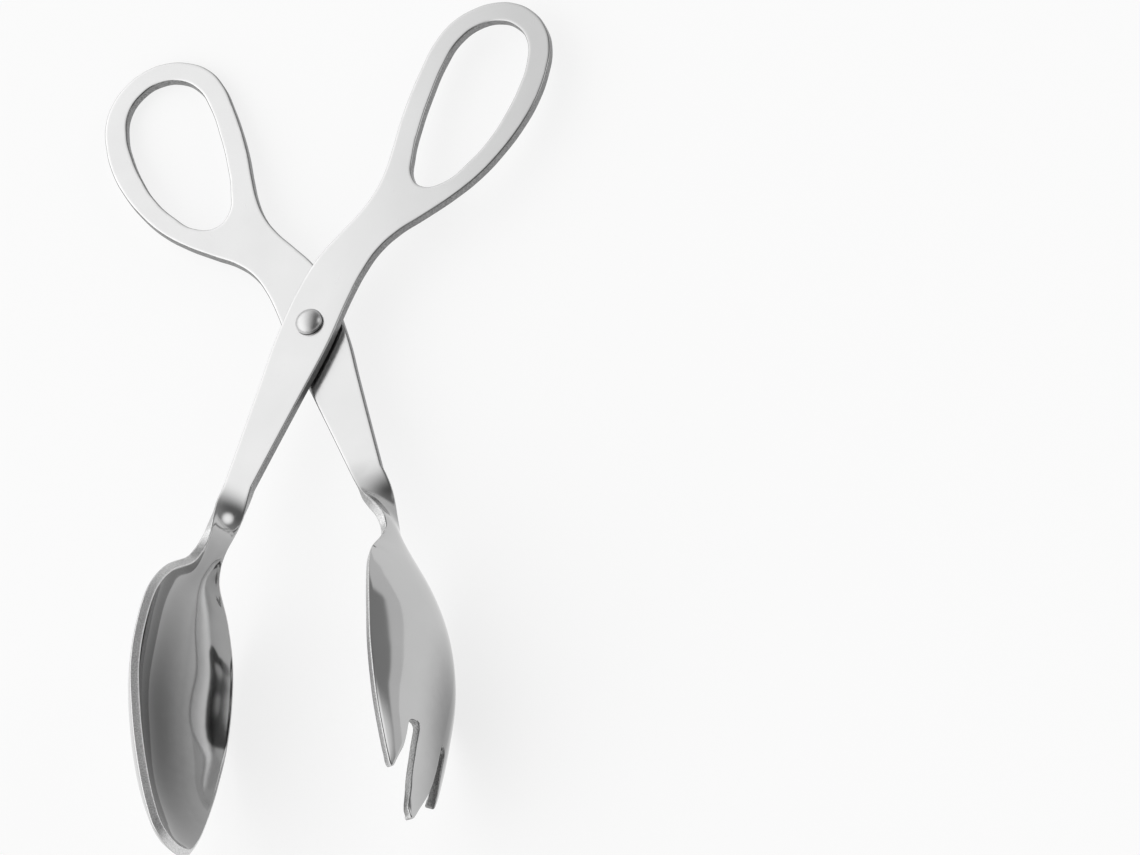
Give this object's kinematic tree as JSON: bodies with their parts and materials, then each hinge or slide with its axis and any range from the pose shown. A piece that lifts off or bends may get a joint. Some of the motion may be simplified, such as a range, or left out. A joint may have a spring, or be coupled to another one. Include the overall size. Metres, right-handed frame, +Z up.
{
  "type": "scissor serving tongs",
  "caption": "Scissor-style steel serving tongs: a spoon arm and a fork arm cross on a rivet and open and close by their finger loops.",
  "frame": {"origin": "middle of the footprint, on the surface that the tongs lie on", "axes": "+Z up from that surface, -Y towards the spoon and fork, +X towards the spoon arm's finger loop"},
  "size_m": [0.1256, 0.252, 0.0484],
  "materials": {
    "satin_steel": "satin stainless sheet with a polished spoon",
    "fork_steel": "satin stainless sheet with a polished fork",
    "polished_steel": "polished stainless rivet",
    "washer_steel": "plain stainless washer"
  },
  "bodies": {
    "spoon_side": {"spoon_arm": "satin_steel", "pivot_rivet": "polished_steel", "pivot_washer": "washer_steel"},
    "fork_side": {"fork_arm": "fork_steel"}
  },
  "joints": [
    {"name": "scissor_pivot", "type": "hinge", "parent": "spoon_side", "child": "fork_side", "pos_m": [-0.00011, 0.03488, 0.01499], "axis": [-0.0131, 0.094, 0.9955], "range_deg": [-21.8, 40]}
  ]
}
